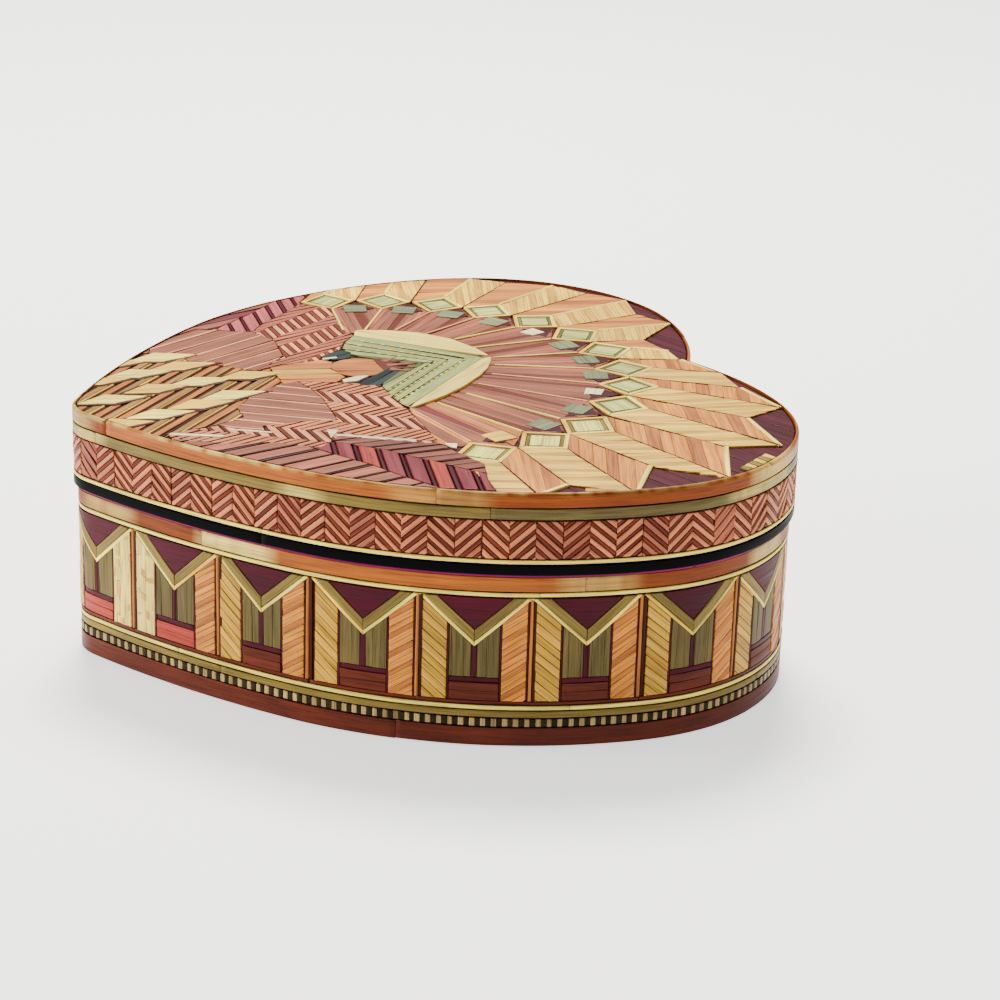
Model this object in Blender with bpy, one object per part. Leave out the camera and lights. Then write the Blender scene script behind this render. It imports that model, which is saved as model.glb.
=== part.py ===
"""Heart-shaped trinket box covered in straw marquetry, with a lift-off lid.

The box lies with its underside on z = 0, its notch towards +Y and its tip towards -Y.
Sizes are in metres. The picture on the lid is drawn in units, of which the heart is
UNITS_ACROSS wide, and is scaled to the outline that the radii below give.
"""

import math

import bmesh
import bpy
from mathutils import Vector

MM = 0.001

# Overall sizes
BASE_HEIGHT = 34.7 * MM
LID_HEIGHT = 16.3 * MM
LID_OVERHANG = 0.8 * MM

# Boards of the carcass
WALL_THICKNESS = 3.2 * MM
FLOOR_THICKNESS = 2.6 * MM
LID_PANEL_THICKNESS = 3.0 * MM
COLLAR_THICKNESS = 1.6 * MM
COLLAR_RISE = 5.0 * MM
COLLAR_CLEARANCE = 0.4 * MM

# Straw skin and the gaps between glued pieces
BAND_THICKNESS = 0.5 * MM
SHEET_THICKNESS = 0.4 * MM
SEAT_GAP = 0.3 * MM
STRIP_GAP = 0.25 * MM

# Heights of the straw bands, each with the gap under it
RIM_BAND = 3.1 * MM
LID_OLIVE_BAND = 2.35 * MM
LID_CREAM_BAND = 1.0 * MM
BLACK_BAND = 2.2 * MM
ORANGE_BAND = 3.6 * MM
UPPER_CREAM_BAND = 1.0 * MM
LOWER_CREAM_BAND = 1.05 * MM
BASE_OLIVE_BAND = 1.55 * MM
CHECK_BAND = 1.85 * MM
FOOT_BAND = 3.95 * MM

# Heart outline: one half is a chain of arcs, with turns in degrees
NOTCH_SLOPE = 26.1
SHOULDER_RADIUS = 69.7 * MM
LOBE_RADIUS = 41.8 * MM
FLANK_RADIUS = 88.9 * MM
FLANK_TURN = 45.7
LOWER_TURN = 15.1
TIP_RADIUS = 10.4 * MM
ARC_STEPS = (4, 10, 6, 3, 4)

# Making of the solids
WELD_DISTANCE = 0.001 * MM
CUTTER_MARGIN = 2.0 * MM

# Feathered headdress: a fan about one centre, in drawing units from the outline's middle, and degrees
UNITS_ACROSS = 144.8
FAN_CENTRE = (-7.4, -6.3)
EYE_ANGLES = (
    173.8, 160.5, 147.3, 134.6, 121.1, 107.4, 94.0, 80.1, 67.5, 53.2, 37.1, 23.2, 8.3,
)
EYE_SHARE = 0.85
EYE_NECK = 0.9
TIP_LEAN = 4.0
VALLEY_LEAN = 3.5
VALLEY_DEPTH = 8.0
TIP_MARGIN = 0.6
LOW_LEFT_TIP = 175.6
OUTSIDE = 90.0

# Figure in the middle of the fan, in drawing units from the outline's middle
APEX = (-12.4, 21.4)
CRESCENT_LEFT = (-36.6, -1.5)
CRESCENT_RIGHT = (16.6, -5.2)
BAND_LEFT = (-33.0, -2.0)
BAND_RIGHT = (14.4, -2.8)
LEFT_BOW = 6.6
RIGHT_BOW = 4.2
FAN_LOW_LEFT = (-50.0, -1.9)
FAN_LOW_RIGHT = (38.5, -4.8)
CHIN = [
    (-17.9, -7.0), (-17.6, -11.0), (-14.8, -13.6), (-11.4, -14.3), (-8.2, -13.4), (-5.9, -10.4),
    (-5.4, -6.2),
]
PLAIT_RIGHT = [
    (-3.2, -14.5), (-5.6, -22.9), (-4.4, -28.6), (1.0, -33.0), (6.5, -36.0), (13.0, -38.0),
    (16.4, -44.4), (20.2, -54.2),
]
PLAIT_LEFT = [
    (-36.0, -54.4), (-28.6, -40.2), (-19.6, -35.2), (-13.8, -27.6), (-14.6, -21.4),
]
WING_LEFT_EDGE = [(-54.0, -15.4), (-48.0, -30.4), (-46.0, -42.4)]
WING_RIGHT_EDGE = [(38.5, -10.8), (31.0, -23.4), (28.6, -40.4), (24.0, -53.4)]

BROWN_BOARD = (0.36, 0.24, 0.15, 1.0)
ROSE = (0.45, 0.19, 0.14, 1.0)
STRAW = (0.72, 0.55, 0.28, 1.0)
OLIVE = (0.33, 0.30, 0.15, 1.0)
CREAM = (0.83, 0.72, 0.43, 1.0)
NAVY = (0.015, 0.012, 0.03, 1.0)
ORANGE = (0.50, 0.22, 0.07, 1.0)
AUBERGINE = (0.09, 0.02, 0.06, 1.0)
RED_BROWN = (0.24, 0.07, 0.05, 1.0)
SALMON = (0.58, 0.28, 0.18, 1.0)
MAUVE = (0.36, 0.16, 0.14, 1.0)
SAGE = (0.36, 0.42, 0.25, 1.0)
TAN = (0.60, 0.37, 0.20, 1.0)
SLATE = (0.10, 0.12, 0.14, 1.0)
PLUM = (0.28, 0.10, 0.14, 1.0)


def arc_centres():
    """Centre, radius, start heading and turn of each arc of the right half, from notch to tip."""
    tip_turn = 90 - FLANK_TURN - LOWER_TURN
    after_lobe = (
        SHOULDER_RADIUS * math.sin(math.radians(NOTCH_SLOPE)) + LOBE_RADIUS - FLANK_RADIUS
    )
    after_flank = after_lobe + FLANK_RADIUS * math.cos(math.radians(FLANK_TURN))
    lower_span = math.cos(math.radians(FLANK_TURN)) - math.cos(math.radians(FLANK_TURN + LOWER_TURN))
    tip_reach = TIP_RADIUS * math.sin(math.radians(tip_turn))
    lower_radius = (after_flank - tip_reach) / lower_span
    turns = (NOTCH_SLOPE, 90, FLANK_TURN, LOWER_TURN, tip_turn)
    radii = (SHOULDER_RADIUS, LOBE_RADIUS, FLANK_RADIUS, lower_radius, TIP_RADIUS)
    x, y, heading = 0.0, 0.0, math.radians(NOTCH_SLOPE)
    arcs = []
    for radius, turn in zip(radii, turns):
        centre = (x + radius * math.sin(heading), y - radius * math.cos(heading))
        arcs.append((centre, radius, heading, math.radians(turn)))
        heading -= math.radians(turn)
        x = centre[0] - radius * math.sin(heading)
        y = centre[1] + radius * math.cos(heading)
    return arcs


def half_outline(inset):
    """Right half of the heart, set in by a distance, from the notch to the tip."""
    points = []
    for (centre, radius, heading, turn), steps in zip(arc_centres(), ARC_STEPS):
        r = radius - inset
        if not points:
            first = math.asin(centre[0] / r)
            turn += first - heading
            heading = first
        if r <= inset * 0.05:
            continue
        for step in range(0 if not points else 1, steps + 1):
            h = heading - turn * step / steps
            points.append((centre[0] - r * math.sin(h), centre[1] + r * math.cos(h)))
    while points[-1][0] < 0:
        points.pop()
    points[0] = (0.0, points[0][1])
    points[-1] = (0.0, points[-1][1])
    return points


DRAWN = half_outline(0.0)
CENTRE_Y = (max(y for x, y in DRAWN) + min(y for x, y in DRAWN)) / 2
UNIT = 2 * max(x for x, y in DRAWN) / UNITS_ACROSS


def heart(inset):
    """The whole outline, with the middle of its length at y = 0."""
    right = [(x, y - CENTRE_Y) for x, y in half_outline(inset)]
    left = [(-x, y) for x, y in reversed(right[1:-1])]
    return right + left


def drawn(points):
    """Points of the drawing, in its units, brought to the part's own size."""
    return [(x * UNIT, y * UNIT) for x, y in points]


def inset_polygon(points, distance):
    """A simple polygon with every edge moved inwards and neighbouring edges met again."""
    area = sum(a[0] * b[1] - b[0] * a[1] for a, b in zip(points, points[1:] + points[:1]))
    loop = points if area > 0 else points[::-1]
    moved = []
    for before, here, after in zip(loop[-1:] + loop[:-1], loop, loop[1:] + loop[:1]):
        p, q, r = Vector(before), Vector(here), Vector(after)
        first = (q - p).normalized()
        second = (r - q).normalized()
        normal_a = Vector((-first.y, first.x))
        normal_b = Vector((-second.y, second.x))
        middle = (normal_a + normal_b).normalized()
        reach = distance / max(middle.dot(normal_a), 0.2)
        moved.append(tuple(q + middle * reach))
    return moved


def material(name, colour, roughness):
    made = bpy.data.materials.new(name)
    made.use_nodes = True
    shader = made.node_tree.nodes["Principled BSDF"]
    shader.inputs["Base Color"].default_value = colour
    shader.inputs["Roughness"].default_value = roughness
    shader.inputs["Metallic"].default_value = 0.0
    return made


def flat_curve(name, loops, low, high):
    """A flat outline, with any holes in it, given its thickness from low to high."""
    curve = bpy.data.curves.new(name, "CURVE")
    curve.dimensions = "2D"
    curve.fill_mode = "BOTH"
    curve.extrude = (high - low) / 2
    for loop in loops:
        spline = curve.splines.new("POLY")
        spline.points.add(len(loop) - 1)
        for point, (x, y) in zip(spline.points, loop):
            point.co = (x, y, 0, 1)
        spline.use_cyclic_u = True
    made = bpy.data.objects.new(name, curve)
    made.location = (0, 0, (low + high) / 2)
    return made


def as_mesh(curve_object):
    """A mesh object in place of a curve, with its caps welded to its sides."""
    bpy.context.scene.collection.objects.link(curve_object)
    bpy.context.view_layer.update()
    evaluated = curve_object.evaluated_get(bpy.context.evaluated_depsgraph_get())
    mesh = bpy.data.meshes.new_from_object(evaluated)
    work = bmesh.new()
    work.from_mesh(mesh)
    bmesh.ops.remove_doubles(work, verts=work.verts, dist=WELD_DISTANCE)
    bmesh.ops.recalc_face_normals(work, faces=work.faces)
    work.to_mesh(mesh)
    work.free()
    name = curve_object.name
    matrix = curve_object.matrix_world.copy()
    bpy.data.objects.remove(curve_object)
    made = bpy.data.objects.new(name, mesh)
    made.matrix_world = matrix
    return made


def add(collection, made, colour, roughness=0.55):
    made.data.materials.append(material(made.name, colour, roughness))
    collection.objects.link(made)
    return made


def ring(collection, name, outer_inset, thickness, low, high, colour):
    """A heart-shaped wall, its outer face set in from the drawn outline."""
    loops = [heart(outer_inset), heart(outer_inset + thickness)]
    return add(collection, flat_curve(name, loops, low, high), colour)


def plate(collection, name, inset, low, high, colour):
    """A heart-shaped board."""
    return add(collection, flat_curve(name, [heart(inset)], low, high), colour)


def fan_point(angle, radius):
    """A point of the drawing by angle in degrees and distance from the fan's centre."""
    turn = math.radians(angle)
    return (FAN_CENTRE[0] + radius * math.cos(turn), FAN_CENTRE[1] + radius * math.sin(turn))


def bow(start, end, height, steps):
    """Points between two ends of a circular arc that bulges to the left of start to end."""
    a, b = Vector(start), Vector(end)
    half = (b - a).length / 2
    radius = (half * half + height * height) / (2 * height)
    spread = math.asin(half / radius)
    along = (b - a).normalized()
    out = Vector((-along.y, along.x))
    centre = (a + b) / 2 - out * (radius - height)
    points = []
    for step in range(1, steps):
        turn = -spread + 2 * spread * step / steps
        points.append(tuple(centre + out * radius * math.cos(turn) + along * radius * math.sin(turn)))
    return points


def build_base(collection):
    wall_inset = LID_OVERHANG + BAND_THICKNESS + SEAT_GAP
    collar_inset = wall_inset + WALL_THICKNESS + SEAT_GAP
    wall_low = FLOOR_THICKNESS + SEAT_GAP
    plate(collection, "base_floor", wall_inset, 0.0, FLOOR_THICKNESS, BROWN_BOARD)
    ring(collection, "base_wall", wall_inset, WALL_THICKNESS, wall_low, BASE_HEIGHT, BROWN_BOARD)
    collar_high = BASE_HEIGHT + COLLAR_RISE
    ring(collection, "base_collar", collar_inset, COLLAR_THICKNESS, wall_low, collar_high, BROWN_BOARD)
    narrow = (
        ORANGE_BAND + UPPER_CREAM_BAND + LOWER_CREAM_BAND + BASE_OLIVE_BAND + CHECK_BAND + FOOT_BAND
    )
    bands = (
        ("base_orange_band", ORANGE_BAND, ORANGE),
        ("base_upper_cream_band", UPPER_CREAM_BAND, CREAM),
        ("base_frieze_band", BASE_HEIGHT - narrow, AUBERGINE),
        ("base_lower_cream_band", LOWER_CREAM_BAND, CREAM),
        ("base_olive_band", BASE_OLIVE_BAND, OLIVE),
        ("base_check_band", CHECK_BAND, OLIVE),
        ("base_foot_band", FOOT_BAND, RED_BROWN),
    )
    wrap(collection, bands, LID_OVERHANG, BASE_HEIGHT)


def wrap(collection, bands, inset, top):
    """Straw bands round a wall, from its top edge down."""
    for name, height, colour in bands:
        low = top - height
        ring(collection, name, inset, BAND_THICKNESS, low + STRIP_GAP, top, colour)
        top = low


def build_lid(collection):
    top = BASE_HEIGHT + LID_HEIGHT
    bottom = BASE_HEIGHT + SEAT_GAP
    panel_top = top - 2 * (SHEET_THICKNESS + SEAT_GAP)
    panel_low = panel_top - LID_PANEL_THICKNESS
    inset = BAND_THICKNESS + SEAT_GAP
    collar_face = LID_OVERHANG + BAND_THICKNESS + SEAT_GAP + WALL_THICKNESS + SEAT_GAP
    thickness = collar_face - COLLAR_CLEARANCE - inset
    plate(collection, "lid_panel", inset, panel_low, panel_top, BROWN_BOARD)
    ring(collection, "lid_wall", inset, thickness, bottom, panel_low - SEAT_GAP, BROWN_BOARD)
    ground_low = panel_top + SEAT_GAP
    plate(collection, "picture_ground", inset, ground_low, ground_low + SHEET_THICKNESS, AUBERGINE)
    narrow = RIM_BAND + LID_OLIVE_BAND + LID_CREAM_BAND + BLACK_BAND
    bands = (
        ("lid_rim_band", RIM_BAND, ORANGE),
        ("lid_olive_band", LID_OLIVE_BAND, OLIVE),
        ("lid_chevron_band", top - BASE_HEIGHT - narrow, SALMON),
        ("lid_cream_band", LID_CREAM_BAND, CREAM),
        ("lid_black_band", BLACK_BAND, NAVY),
    )
    wrap(collection, bands, 0.0, top)


def joint_angles():
    """Angles of the joints between the eyes of the headdress, and beside the first and the last."""
    middles = [(a + b) / 2 for a, b in zip(EYE_ANGLES, EYE_ANGLES[1:])]
    first = 2 * EYE_ANGLES[0] - middles[0]
    last = 2 * EYE_ANGLES[-1] - middles[-1]
    return [first] + middles + [last]


def eye_radius():
    """Distance of the eyes from the fan's centre: a share of the way to the nearest rim."""
    return EYE_SHARE * ray_to_rim(EYE_ANGLES[0], BAND_THICKNESS + SEAT_GAP)


def eye_reach():
    """Half the diagonal of an eye, so that the square eyes meet corner to corner."""
    pitch = (EYE_ANGLES[0] - EYE_ANGLES[-1]) / (len(EYE_ANGLES) - 1)
    return eye_radius() * math.sin(math.radians(pitch / 2))


def zigzag(peak_radius, joint_radius):
    """A row of points, out at each eye of the headdress and in at each joint."""
    joints = joint_angles()
    points = [fan_point(joints[0], joint_radius)]
    for eye, joint in zip(EYE_ANGLES, joints[1:]):
        points.append(fan_point(eye, peak_radius))
        points.append(fan_point(joint, joint_radius))
    return points


def ray_to_rim(angle, inset):
    """Distance in drawing units from the fan's centre to the outline, set in, along an angle."""
    outline = heart(inset)
    origin = Vector(drawn([FAN_CENTRE])[0])
    way = Vector((math.cos(math.radians(angle)), math.sin(math.radians(angle))))
    reach = 0.0
    for a, b in zip(outline, outline[1:] + outline[:1]):
        edge = Vector(b) - Vector(a)
        cross = way.x * edge.y - way.y * edge.x
        if abs(cross) < 1e-12:
            continue
        offset = Vector(a) - origin
        along = (offset.x * edge.y - offset.y * edge.x) / cross
        share = (offset.x * way.y - offset.y * way.x) / cross
        if 0 <= share <= 1 and along > 0:
            reach = max(reach, along)
    return reach / UNIT


def outer_feathers():
    """The long feathers: a pointed tip beyond each eye and a valley beyond each joint."""
    joints = joint_angles()
    points = zigzag(eye_radius() + eye_reach(), eye_radius() + EYE_NECK)
    edge = BAND_THICKNESS + SEAT_GAP
    points.append(fan_point(joints[-1], ray_to_rim(joints[-1], edge) - TIP_MARGIN))
    for index in reversed(range(len(EYE_ANGLES))):
        tip = EYE_ANGLES[index] - TIP_LEAN
        points.append(fan_point(tip, ray_to_rim(tip, edge) - TIP_MARGIN))
        if index > 0:
            valley = joints[index] - VALLEY_LEAN
            points.append(fan_point(valley, ray_to_rim(valley, edge) - VALLEY_DEPTH))
    points.append(low_left_corner())
    return points


def low_left_corner():
    """The lowest tip of the long feathers on the left."""
    edge = BAND_THICKNESS + SEAT_GAP
    return fan_point(LOW_LEFT_TIP, ray_to_rim(LOW_LEFT_TIP, edge) - TIP_MARGIN)


def picture_outlines():
    """Every sheet of the picture by name: outline in drawing units, and colour."""
    left_arc = bow(CRESCENT_LEFT, APEX, LEFT_BOW, 7)
    right_arc = bow(APEX, CRESCENT_RIGHT, RIGHT_BOW, 7)
    ring_inner = zigzag(eye_radius() - eye_reach(), eye_radius() - EYE_NECK)
    ring_outer = zigzag(eye_radius() + eye_reach(), eye_radius() + EYE_NECK)
    left_end = [ring_inner[1], ring_inner[0], ring_outer[0]]
    right_end = [ring_inner[-2], ring_inner[-1], ring_outer[-1]]
    last_joint = joint_angles()[-1]
    return {
        "picture_outer_feathers": (outer_feathers(), STRAW),
        "picture_eye_ring": (ring_outer + ring_inner[::-1], SAGE),
        "picture_inner_fan": (
            ring_inner[1:-1] + [FAN_LOW_RIGHT] + right_arc[::-1] + [APEX] + left_arc[::-1]
            + [CRESCENT_LEFT, FAN_LOW_LEFT],
            MAUVE,
        ),
        "crescent_left": ([CRESCENT_LEFT] + left_arc + [APEX, BAND_LEFT], CREAM),
        "crescent_right": ([APEX] + right_arc + [CRESCENT_RIGHT, BAND_RIGHT], CREAM),
        "headband": (
            [APEX, BAND_LEFT, (-29.6, -5.8), (-24.4, -9.0), (-19.0, -4.6), (-11.8, 5.2),
             (0.6, -6.0), CRESCENT_RIGHT, BAND_RIGHT],
            SAGE,
        ),
        "crown_plume": (
            [(-11.8, 5.2), (-15.6, 0.0), (-12.2, -1.4), (-8.6, -1.4), (-8.2, 2.0)],
            RED_BROWN,
        ),
        "hair_left": (
            [(-24.4, -9.0), (-19.0, -4.6), (-17.9, -7.0), (-17.6, -11.0), (-18.6, -13.0),
             (-20.9, -13.0)],
            SLATE,
        ),
        "hair_right": (
            [(-8.2, 2.0), (-8.6, -1.4), (-5.4, -6.2), (-0.6, -9.8), (0.6, -6.0)],
            SLATE,
        ),
        "face": (
            [(-19.0, -4.6), (-15.6, 0.0), (-12.2, -1.4), (-8.6, -1.4)] + CHIN[::-1],
            TAN,
        ),
        "plait": (
            [(-20.9, -13.0), (-18.6, -13.0)] + CHIN[1:-1] + PLAIT_RIGHT
            + [(19.0, -77.4), (-20.0, -77.4)] + PLAIT_LEFT,
            TAN,
        ),
        "robe_left": (
            left_end[:2] + WING_LEFT_EDGE + PLAIT_LEFT
            + [(-20.9, -13.0), (-24.4, -9.0), (-29.6, -5.8), BAND_LEFT, CRESCENT_LEFT, FAN_LOW_LEFT],
            SALMON,
        ),
        "robe_right": (
            [CRESCENT_RIGHT, (0.6, -6.0), (-0.6, -9.8)] + CHIN[:-3:-1] + PLAIT_RIGHT
            + WING_RIGHT_EDGE[::-1] + right_end[1::-1] + [FAN_LOW_RIGHT],
            SALMON,
        ),
        "wing_left": (
            left_end[1:] + [low_left_corner(), fan_point(LOW_LEFT_TIP, OUTSIDE), (-84.0, -22.4),
                            (-60.0, -52.4)] + WING_LEFT_EDGE[::-1],
            PLUM,
        ),
        "wing_right": (
            WING_RIGHT_EDGE + [(34.0, -72.4), (80.0, -42.4), fan_point(last_joint, OUTSIDE)]
            + right_end[:0:-1],
            PLUM,
        ),
    }


def build_picture(collection, cutters):
    """Flat sheets of laid straw on the lid, cut to the heart where they reach its rim."""
    high = BASE_HEIGHT + LID_HEIGHT
    low = high - SHEET_THICKNESS
    edge = BAND_THICKNESS + SEAT_GAP
    cutter = as_mesh(flat_curve("picture_cutter", [heart(edge)], low - CUTTER_MARGIN, high + CUTTER_MARGIN))
    cutter.hide_render = True
    cutter.display_type = "WIRE"
    cutters.objects.link(cutter)
    for name, (outline, colour) in picture_outlines().items():
        loop = inset_polygon(drawn(outline), STRIP_GAP / 2)
        sheet = add(collection, as_mesh(flat_curve(name, [loop], low, high)), colour)
        trim = sheet.modifiers.new("trim to the heart", "BOOLEAN")
        trim.operation = "INTERSECT"
        trim.object = cutter


def main():
    for old in list(bpy.data.objects):
        bpy.data.objects.remove(old)
    collection = bpy.data.collections.new("straw_marquetry_trinket_box")
    cutters = bpy.data.collections.new("cutters")
    bpy.context.scene.collection.children.link(collection)
    bpy.context.scene.collection.children.link(cutters)
    build_base(collection)
    build_lid(collection)
    build_picture(collection, cutters)
    cutters.hide_render = True


main()
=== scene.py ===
import math
import random

import bmesh
import bpy
from mathutils import Matrix, Vector, geometry, noise


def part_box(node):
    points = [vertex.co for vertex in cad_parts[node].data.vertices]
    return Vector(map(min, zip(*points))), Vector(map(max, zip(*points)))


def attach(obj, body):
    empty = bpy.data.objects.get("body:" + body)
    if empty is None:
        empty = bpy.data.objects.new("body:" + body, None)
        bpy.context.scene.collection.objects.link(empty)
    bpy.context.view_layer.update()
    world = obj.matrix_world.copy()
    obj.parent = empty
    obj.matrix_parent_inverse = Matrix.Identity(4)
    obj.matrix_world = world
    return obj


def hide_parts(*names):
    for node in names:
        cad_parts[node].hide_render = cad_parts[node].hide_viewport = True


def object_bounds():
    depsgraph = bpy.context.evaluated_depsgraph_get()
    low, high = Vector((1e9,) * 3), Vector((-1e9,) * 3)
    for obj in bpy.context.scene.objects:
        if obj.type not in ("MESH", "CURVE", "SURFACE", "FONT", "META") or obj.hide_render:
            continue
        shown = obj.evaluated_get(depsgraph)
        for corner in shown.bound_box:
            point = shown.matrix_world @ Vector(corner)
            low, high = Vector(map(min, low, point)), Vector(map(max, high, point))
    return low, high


# Visual model of a heart-shaped trinket box covered in straw marquetry. Every straw is a tile of
# its own. Lengths are in millimetres until a tile is placed. Angles of straws are in degrees.

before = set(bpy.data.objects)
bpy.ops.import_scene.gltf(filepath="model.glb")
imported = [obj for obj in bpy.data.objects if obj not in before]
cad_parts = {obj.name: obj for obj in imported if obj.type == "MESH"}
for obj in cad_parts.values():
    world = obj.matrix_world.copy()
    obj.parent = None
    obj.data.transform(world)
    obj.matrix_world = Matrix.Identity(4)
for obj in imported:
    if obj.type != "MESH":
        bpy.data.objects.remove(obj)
cad_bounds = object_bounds()

MM = 0.001
dice = random.Random(41)

DYE_LEVEL = 0.8
DYE_CONTRAST = 1.32
DYE_STRENGTH = 1.14
DARKEST = 0.0015


def rgb(red, green, blue):
    """A linear dye colour from screen values, made stronger because bright light pales it."""
    channels = []
    for value in (red, green, blue):
        share = value / 255
        linear = share / 12.92 if share <= 0.04045 else ((share + 0.055) / 1.055) ** 2.4
        channels.append(DYE_LEVEL * linear ** DYE_CONTRAST)
    grey = sum(channels) / 3
    deep = [max(DARKEST, grey + (c - grey) * DYE_STRENGTH) for c in channels]
    return (*deep, 1.0)


CREAM = rgb(252, 236, 150)
PALE_STRAW = rgb(244, 212, 122)
STRAW = rgb(222, 184, 104)
YELLOW_STRAW = rgb(208, 172, 92)
ORANGE_TAN = rgb(226, 166, 98)
TAN = rgb(196, 138, 88)
DUSTY = rgb(176, 140, 94)
ORANGE_BROWN = rgb(150, 90, 47)
PALE_ORANGE = rgb(188, 124, 74)
STAIN = rgb(226, 186, 122)
DARK_CHECK = rgb(62, 52, 28)
PALE_CHECK = rgb(184, 164, 122)
WORN = rgb(246, 226, 150)
SALMON = rgb(216, 154, 122)
PALE_ROSE = rgb(236, 188, 154)
LIGHT_SALMON = rgb(230, 174, 144)
ROSE = rgb(188, 128, 108)
MAUVE = rgb(166, 116, 98)
DARK_MAUVE = rgb(148, 100, 86)
DUSKY = rgb(134, 78, 64)
BROWN = rgb(84, 42, 32)
RED_BROWN = rgb(118, 66, 52)
SAGE = rgb(174, 184, 132)
PALE_SAGE = rgb(206, 208, 146)
BRIGHT_CORE = rgb(238, 238, 160)
DARK_SAGE = rgb(122, 128, 84)
OLIVE = rgb(152, 136, 84)
DARK_OLIVE = rgb(84, 78, 44)
GREY_GREEN = rgb(126, 115, 78)
SPOT_GREEN = rgb(146, 154, 124)
SLATE = rgb(82, 92, 92)
AUBERGINE = rgb(96, 18, 54)
NAVY = rgb(12, 9, 26)
PLUM = rgb(146, 76, 86)
PINK_MAUVE = rgb(192, 120, 120)
DARK_PLUM = rgb(92, 36, 52)
PINK_RED = rgb(184, 96, 86)
WHITE = rgb(254, 247, 216)
MAGENTA = rgb(150, 48, 108)


# Heart outline, as a chain of arcs from the notch round to the tip

NOTCH_SLOPE = math.radians(26.1)
LOBE_TURN = math.radians(90.0)
FLANK_TURN = math.radians(45.7)
LOWER_TURN = math.radians(15.1)
SHOULDER_RADIUS = 69.7
LOBE_RADIUS = 41.8
FLANK_RADIUS = 88.9
TIP_RADIUS = 10.4


def heart_arcs():
    """Centre, radius, start heading in radians and length of each arc of the right half."""
    past_lower = FLANK_TURN + LOWER_TURN
    tip_turn = math.pi / 2 - past_lower
    x_lobe = SHOULDER_RADIUS * math.sin(NOTCH_SLOPE) + LOBE_RADIUS - FLANK_RADIUS
    x_flank = x_lobe + FLANK_RADIUS * math.cos(FLANK_TURN)
    tip_reach = TIP_RADIUS * math.sin(tip_turn)
    lower_radius = (x_flank - tip_reach) / (math.cos(FLANK_TURN) - math.cos(past_lower))
    x, y, heading = 0.0, 0.0, NOTCH_SLOPE
    arcs = []
    for radius, turn in (
        (SHOULDER_RADIUS, NOTCH_SLOPE), (LOBE_RADIUS, LOBE_TURN), (FLANK_RADIUS, FLANK_TURN),
        (lower_radius, LOWER_TURN), (TIP_RADIUS, tip_turn),
    ):
        centre = Vector((x + radius * math.sin(heading), y - radius * math.cos(heading)))
        arcs.append([centre, radius, heading, radius * turn])
        heading -= turn
        x = centre.x - radius * math.sin(heading)
        y = centre.y + radius * math.cos(heading)
    highest = arcs[1][0].y + arcs[1][1]
    lowest = y
    for arc in arcs:
        arc[0].y -= (highest + lowest) / 2
    return arcs


ARCS = heart_arcs()
HALF = sum(arc[3] for arc in ARCS)
PERIMETER = 2 * HALF


def outline_point(s, inset):
    """Place and outward direction on the outline, s millimetres round from the notch."""
    s %= PERIMETER
    side = 1 if s <= HALF else -1
    rest = s if side == 1 else PERIMETER - s
    for number, (centre, radius, heading, length) in enumerate(ARCS):
        if rest <= length or number == len(ARCS) - 1:
            break
        rest -= length
    if number == 0 and inset > 0:
        start = math.asin(min(1.0, centre.x / (radius - inset)))
        angle = start * (1 - rest / length)
    else:
        angle = heading - min(rest, length) / radius
    normal = Vector((-math.sin(angle), math.cos(angle)))
    point = centre + normal * (radius - inset)
    return Vector((side * point.x, point.y)), Vector((side * normal.x, normal.y))


def heart(inset, step=2.0):
    """The outline as a list of points, set in by a distance."""
    count = int(HALF / step)
    right = [outline_point(HALF * i / count, inset)[0] for i in range(count + 1)]
    right[0].x = 0
    right[-1].x = 0
    left = [Vector((-p.x, p.y)) for p in reversed(right[1:-1])]
    return right + left


def levels(node):
    """Lowest and highest level of a CAD node, in millimetres."""
    low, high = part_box(node)
    return low[2] / MM, high[2] / MM


# Polygons

NEAR = 1e-4
STRAIGHT = 0.002
SHARPEST = 0.45


def area(points):
    """Area of a polygon, negative where it runs clockwise."""
    total = 0.0
    for a, b in zip(points, points[1:] + points[:1]):
        total += a[0] * b[1] - b[0] * a[1]
    return total / 2


def heading(degrees):
    """A unit step in a direction."""
    turn = math.radians(degrees)
    return Vector((math.cos(turn), math.sin(turn)))


def left_of(v):
    return Vector((-v.y, v.x))


def direction(v):
    return math.degrees(math.atan2(v.y, v.x))


def rectangle(left, right, low, high):
    return [(left, low), (right, low), (right, high), (left, high)]


def anticlockwise(points):
    points = [Vector((p[0], p[1])) for p in points]
    return points if area(points) > 0 else points[::-1]


def overlap(first, second):
    """The polygons that two outlines share."""
    first, second = anticlockwise(first), anticlockwise(second)
    points = first + second
    faces = [list(range(len(first))), list(range(len(first), len(points)))]
    found = geometry.delaunay_2d_cdt(points, [], faces, 2, NEAR, True)
    edges = set()
    for face, sources in zip(found[2], found[5]):
        if 0 in sources and 1 in sources:
            edges.update(zip(face, face[1:] + face[:1]))
    onward = {}
    for a, b in edges:
        if (b, a) not in edges:
            onward.setdefault(a, []).append(b)
    shared = []
    while onward:
        start = next(iter(onward))
        loop = [start]
        while True:
            here = loop[-1]
            after = onward[here].pop()
            if not onward[here]:
                del onward[here]
            if after == start or after not in onward:
                break
            loop.append(after)
        if len(loop) > 2:
            shared.append([found[0][i].copy() for i in loop])
    return shared


def turned(points, degrees):
    turn = Matrix.Rotation(math.radians(degrees), 2)
    return [turn @ Vector((p[0], p[1])) for p in points]


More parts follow.
